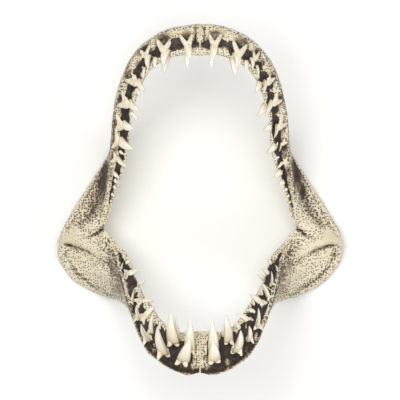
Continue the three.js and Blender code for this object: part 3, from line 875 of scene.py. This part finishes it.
# A root stops short of the lips by some mm and some tooth widths.
SPARED_MM, SPARED_WIDTHS = 0.5, 0.15
ROOT_DEPTH = 0.85
CROWN_SIDES = 28
CROWN_RINGS = 26
ROOT_SIDES = 14
ROOT_RINGS = 26
ROLL_JITTER = 0.06
# A crown: half its width, and how far in tooth widths it bulges to the lips and to the tongue, bows
# and comes back at the tip.
CROWN_HALF, LIP_BELLY, TONGUE_BELLY, BOW, TIP_BACK = 0.52, 0.5, 0.72, 0.13, 0.1


def crown_form():
    """A crown one unit wide at the neck and one unit tall, its lip side towards +Y.

    With it come two shares for its finish: how far up a point is, and how near a cutting edge."""
    rise = 1 - (1 - np.linspace(0, 1, CROWN_RINGS)) ** 1.25
    half = CROWN_HALF * (1 - rise[:-1] ** 1.6) ** 0.75
    half[0] *= 0.97
    angle = 2 * math.pi * np.arange(CROWN_SIDES) / CROWN_SIDES
    blade = np.sin(angle) * np.abs(np.sin(angle)) ** 0.25
    belly = np.where(angle < math.pi, LIP_BELLY, TONGUE_BELLY)
    bend = BOW * np.sin(math.pi * rise[:-1]) - TIP_BACK * rise[:-1] ** 3
    rings = np.stack([half[:, None] * np.cos(angle), half[:, None] * blade * belly + bend[:, None],
                      np.broadcast_to(rise[:-1, None], (CROWN_RINGS - 1, CROWN_SIDES))], axis=2)
    points = np.concatenate([rings.reshape(-1, 3), [[0.0, -TIP_BACK, 1.0]]])
    # the flat top gives way to triangles up to the tip
    *faces, top = skin_faces(CROWN_RINGS - 1, CROWN_SIDES)
    faces += [[a, b, len(points) - 1] for a, b in zip(top, top[1:] + top[:1])]
    edge = np.append(np.tile(np.abs(np.cos(angle)) ** 8, CROWN_RINGS - 1), 1.0)
    return points, faces, {"rise": points[:, 2], "edge": edge}


def root_form(spread, lobe, body, slim, deep, top):
    """A root of two rounded lobes that spread from the neck, at the origin, down one unit.

    spread is half the way between the lobes, lobe their half thickness and body the neck's, slim
    the share by which a lobe tapers, deep half the root's thickness from lip to tongue, and top how
    high its middle line stands at the neck."""
    place = np.linspace(-1, 1, ROOT_RINGS)
    path = np.stack([spread * place, np.zeros(ROOT_RINGS),
                     top - (ROOT_REACH + top) * np.abs(place) ** 1.35], axis=1)
    along = unit(np.gradient(path, axis=0))
    side_way = np.array([0.0, 1.0, 0.0])
    up = unit(np.cross(along, side_way))
    taper = np.sqrt(np.clip(1 - np.abs(place) ** 5, 0.02, 1)) * (1 - slim * np.abs(place))
    thick = lobe * taper + (body - lobe) * bell(place, 0.35)
    deep = deep * taper + 0.03 * bell(place, 0.5)
    angle = 2 * math.pi * np.arange(ROOT_SIDES) / ROOT_SIDES
    rings = (path[:, None] + up[:, None] * (np.cos(angle)[:, None] * thick[:, None, None])
             + side_way * (np.sin(angle)[:, None] * deep[:, None, None]))
    return rings.reshape(-1, 3), skin_faces(ROOT_RINGS, ROOT_SIDES)


def strip_point(jaw, t, inset):
    """A point of the uncarved strip."""
    place = np.interp(inset, STRIP_PLACES, range(len(STRIP_PLACES)))
    return sections(jaw, t, np.array([place]))[0][0, 0]


def tooth_places(jaw, rows, side, root_lies, root_lift):
    """Where each tooth stands. root_lies is how far its root lies along the strip, 0 to 1, and
    root_lift how far it stands over the strip in tooth widths."""
    places = []
    flip = np.array([side, 1, 1])
    crest_t, crest_mm = crest_lengths(jaw)
    for (rise, root_spread, root_length, root_most, root_least, hidden), teeth in rows:
        for station, inset, height, width, lean in teeth:
            t = np.interp([station], crest_mm, crest_t)
            f = {key: value[0] for key, value in frames_along(jaw, t).items()}
            inward = unit(f["across"] * [1, 1, 0])
            to_joint = np.array([-inward[1], inward[0], 0.0])
            to_joint *= np.sign(to_joint @ f["along"])
            lean_angle, rise_angle = math.radians(lean), math.radians(rise)
            axis = (inward * math.cos(lean_angle) + to_joint * math.sin(lean_angle)) * math.cos(rise_angle)
            axis[2] = math.sin(rise_angle)
            broad = unit(f["along"] - (f["along"] @ axis) * axis)
            back = np.cross(axis, broad)
            back *= np.sign(back[2])
            crown = between_stations(jaw["crown"], t)[0]
            share = np.interp(inset, *zip(*STRIP_PROFILE))
            sink = min(TOOTH_SINK, TOOTH_SINK_SHARE * height)
            foot = f["labial"] + (f["lingual"] - f["labial"]) * inset - f["out"] * sink
            foot[2] += crown * share / f["out"][2]
            strip_width = np.linalg.norm(f["lingual"] - f["labial"])
            to_lip = inset * strip_width - SPARED_MM - SPARED_WIDTHS * width
            root_reach = min(root_length * width, root_most, max(to_lip, root_least * width))
            seat = strip_point(jaw, t, inset)
            lie = unit(seat - strip_point(jaw, t, max(inset - root_reach / strip_width, 0.02)))
            lie = lie * math.cos(lean_angle / 2) + f["along"] * math.sin(lean_angle / 2)
            root_up = unit(lie * root_lies + axis * (1 - root_lies))
            neck = foot + axis * NECK * height
            over_seat = seat + (neck - foot) + f["out"] * root_lift * width
            root_top = neck + (over_seat - neck) * root_lies
            root_top = root_top - f["out"] * ROOT_BURIED * (1 - ease(height, 0.7 * hidden, hidden))
            crown_size = np.array([width, width, (1 - NECK) * height]) * MM
            root_size = np.array([width * root_spread, width * ROOT_DEPTH, root_reach]) * MM
            places.append({
                "station": station,
                "crown": (to_row_frame(neck, side), axis * flip, back * flip, crown_size),
                "root": (to_row_frame(root_top, side), root_up * flip, f["out"] * flip, root_size)})
    return places


def turn_of(up, front):
    """Euler angles of a frame with +Z along up and +Y as near to front as it goes."""
    z = unit(up)
    y = unit(front - (front @ z) * z)
    x = np.cross(y, z)
    return Matrix(np.stack([x, y, z], axis=1).tolist()).to_euler("XYZ")


def whorl_tree():
    """Sets a form on every point, turned and stretched as the point says, and joins the lot."""
    tree = bpy.data.node_groups.new("tooth_whorl", "GeometryNodeTree")
    node = partial(add_node, tree)
    for name, kind in (("Geometry", "Geometry"), ("Form", "Object"), ("Roll jitter", "Float"),
                       ("Seed", "Int"), ("Finish", "Material")):
        tree.interface.new_socket(name, in_out="INPUT", socket_type=f"NodeSocket{kind}")
    tree.interface.new_socket("Geometry", in_out="OUTPUT", socket_type="NodeSocketGeometry")
    given = node("NodeGroupInput").outputs
    form = node("GeometryNodeObjectInfo", {"Object": given["Form"], "As Instance": True})
    turn, stretch = [node("GeometryNodeInputNamedAttribute", {"Name": name}, data_type="FLOAT_VECTOR")
                     for name in ("turn", "stretch")]
    set_out = node("GeometryNodeInstanceOnPoints", {
        "Points": given["Geometry"], "Instance": form.outputs["Geometry"], "Rotation": turn,
        "Scale": stretch})
    low = node("Math", {0: given["Roll jitter"], 1: -1.0}, operation="MULTIPLY")
    roll = node("FunctionNodeRandomValue", {2: low, 3: given["Roll jitter"], "Seed": given["Seed"]},
                data_type="FLOAT")
    roll_turn = node("CombineXYZ", {"Z": roll})
    rolled = node("GeometryNodeRotateInstances",
                  {"Instances": set_out, "Rotation": roll_turn, "Local Space": True})
    joined = node("GeometryNodeRealizeInstances", {"Geometry": rolled})
    finished = node("GeometryNodeSetMaterial", {"Geometry": joined, "Material": given["Finish"]})
    node("NodeGroupOutput", {"Geometry": finished})
    return tree


whorl = whorl_tree()


def whorl_piece(name, form, seats_at, finish, seed):
    """A plain mesh of the form on every seat: its place, its up and front, and its size."""
    spots, ups, fronts, sizes = zip(*seats_at)
    turns = [turn_of(up, front) for up, front in zip(ups, fronts)]
    seats = bpy.data.meshes.new(name + "_seats")
    seats.from_pydata([list(spot) for spot in spots], [], [])
    for key, values in (("turn", turns), ("stretch", sizes)):
        made = seats.attributes.new(key, "FLOAT_VECTOR", "POINT")
        made.data.foreach_set("vector", np.array(values, np.float32).ravel())
    maker = new_object(name + "_seats", seats)
    modifier = maker.modifiers.new("whorl", "NODES")
    modifier.node_group = whorl
    sockets = {item.name: item.identifier for item in whorl.interface.items_tree
               if item.item_type == "SOCKET" and item.in_out == "INPUT"}
    for key, value in (("Form", form), ("Roll jitter", ROLL_JITTER), ("Seed", seed), ("Finish", finish)):
        modifier[sockets[key]] = value
    evaluated = maker.evaluated_get(bpy.context.evaluated_depsgraph_get())
    mesh = bpy.data.meshes.new_from_object(evaluated)
    mesh.name = name
    for key in ("turn", "stretch"):
        if key in mesh.attributes:
            mesh.attributes.remove(mesh.attributes[key])
    mesh.shade_smooth()
    bpy.data.objects.remove(maker)
    return new_object(name, mesh)


# Enameloid: ivory, glossy, faintly streaked, with a tan neck where the gum stained it and
# darker, half clear cutting edges, where it is thin; the darker edges are also painted shade that
# outlines each crown.
STREAK = 0.0016
STREAK_PUSH = 0.16

enameloid, node, place, coat = new_material("polished_enameloid")
rise, by_edge = [node("Attribute", attribute_name=name).outputs["Fac"] for name in ("rise", "edge")]
streaks = node("TexNoise", {"Vector": place, "Scale": 1 / STREAK, "Detail": 3.0})
rise_soft = pushed_share(node, rise, streaks, STREAK_PUSH)
crown_tone = node("ValToRGB", {"Fac": rise_soft}, stops=[
    (0, "#c2a981"), (0.1, "#dccdad"), (0.26, "#e8dec8"), (0.7, "#ece5d4"), (1, "#ddd5c2")])
# the cutting edges darken for their thin, half clear enameloid and as painted shade along the outline
edge_share = node("Math", {0: by_edge, 1: 0.7}, operation="MULTIPLY")
crown_edge_shaded = node("Mix", {"Factor": edge_share, "A": crown_tone, "B": "#9a8768"}, data_type="RGBA")
crown_bump = node("Bump", {"Height": streaks, "Strength": 0.08, "Distance": 0.0003})
coat({"Base Color": crown_edge_shaded, "Roughness": 0.22, "IOR": 1.62, "Normal": crown_bump,
      "Coat Weight": 0.3, "Coat Roughness": 0.12, "Subsurface Weight": 0.12,
      "Subsurface Radius": (1.0, 0.8, 0.6), "Subsurface Scale": 0.001})

# Root osteodentine: chalky, cream to tan, full of fine pits from its blood vessels.
ROOT_PATCH = 0.004
ROOT_PIT = 0.0011

osteodentine, node, place, coat = new_material("porous_osteodentine")
patches = node("TexNoise", {"Vector": place, "Scale": 1 / ROOT_PATCH, "Detail": 5.0, "Roughness": 0.7})
root_tone = node("ValToRGB", {"Fac": patches}, stops=[(0.3, "#d2c09a"), (0.6, "#f1e9d7")])
pits = node("TexVoronoi", {"Vector": place, "Scale": 1 / ROOT_PIT})
pit_mask = node("MapRange", {"Value": pits, "From Min": 0.12, "From Max": 0.35})
pitted = node("Mix", {"Factor": pit_mask, "A": "#6f573b", "B": root_tone}, data_type="RGBA")
pit_bump = node("Bump", {"Height": pit_mask, "Strength": 0.5, "Distance": 0.0003})
coat({"Base Color": pitted, "Roughness": 0.75, "Normal": pit_bump})

crown_points, crown_faces, crown_shares = crown_form()
crown = mesh_piece("crown_form", crown_points, crown_faces, [], crown_shares)
# The kinds of root in each jaw: the stations from and to which they stand, and their form. The
# big front teeth have a deep notch between the lobes, the side teeth a shallow one.
ROOT_KINDS = {
    "upper": [("front_roots", 0, 90, root_form(0.72, 0.27, 0.33, 0.2, 0.25, 0.14)),
              ("side_roots", 90, 300, root_form(0.8, 0.3, 0.52, 0.25, 0.25, -0.08))],
    "lower": [("front_roots", 0, 90, root_form(0.42, 0.26, 0.4, 0.5, 0.19, 0.14)),
              ("side_roots", 90, 300, root_form(0.7, 0.3, 0.5, 0.35, 0.22, -0.05))],
}

# Of each row: how many degrees its crowns rise, the spread and the length of its roots in tooth
# widths, the longest root in mm, the shortest in tooth widths, and the height in mm under which the
# gum hides a tooth's root. A younger tooth's root is short.
for jaw_name, jaw, teeth, front_row, rear_row, root_lies, root_lift, seed in (
        ("upper", UPPER_JAW, UPPER_TEETH,
         (32, 1.05, 1.5, 13.5, 0.45, 14), (12, 0.6, 0.35, 4.0, 0.2, 30), 0.9, 0.02, 40),
        ("lower", LOWER_JAW, LOWER_TEETH,
         (30, 1.15, 0.78, 11.0, 0.35, 14), (15, 1.1, 0.75, 9.0, 0.35, 14), 0.55, 0.08, 50)):
    for side_name, side in SIDES.items():
        rows = [(front_row, teeth[side_name, "front"]), (rear_row, teeth[side_name, "rear"])]
        places = tooth_places(jaw, rows, side, root_lies, root_lift)
        crowns = whorl_piece(f"{jaw_name}_{side_name}_crowns", crown, [p["crown"] for p in places],
                             enameloid, seed + side)
        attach(crowns, "root")
        for kind, first_station, last_station, (root_points, root_faces) in ROOT_KINDS[jaw_name]:
            form = mesh_piece("root_form", root_points, root_faces, [], {})
            rooted = [p["root"] for p in places if first_station <= p["station"] < last_station]
            roots = whorl_piece(f"{jaw_name}_{side_name}_{kind}", form, rooted, osteodentine,
                                seed + 4 + side)
            bpy.data.objects.remove(form)
            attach(roots, "root")

bpy.data.objects.remove(crown)


# ---------------------------------------------------------------- studio light
# A big soft box over the table lights what faces up and leaves the steep sides darker. A second,
# weaker one from low on the other side and a dim pale room round it all keep the hollows open.
JAWS_MIDDLE = Vector((0.0, 0.0, 0.1))
ROOM_GLOW = 0.56


def soft_box(name, size, watts, location):
    lamp = bpy.data.lights.new(name, "AREA")
    lamp.shape = "SQUARE"
    lamp.size = size
    lamp.energy = watts
    box = new_object(name, lamp)
    box.location = location
    box.rotation_mode = "QUATERNION"
    box.rotation_quaternion = (JAWS_MIDDLE - box.location).to_track_quat("-Z", "Y")


soft_box("overhead_box", 1.7, 42.0, (-0.3, 0.3, 2.35))
soft_box("side_box", 0.9, 7.0, (1.4, -0.9, 1.0))

room = bpy.data.worlds.new("pale_room")
room.use_nodes = True
room.node_tree.nodes["Background"].inputs["Color"].default_value = linear_colour("#f3f5f8")
room.node_tree.nodes["Background"].inputs["Strength"].default_value = ROOM_GLOW
bpy.context.scene.world = room
bpy.context.scene.view_settings.view_transform = "Standard"
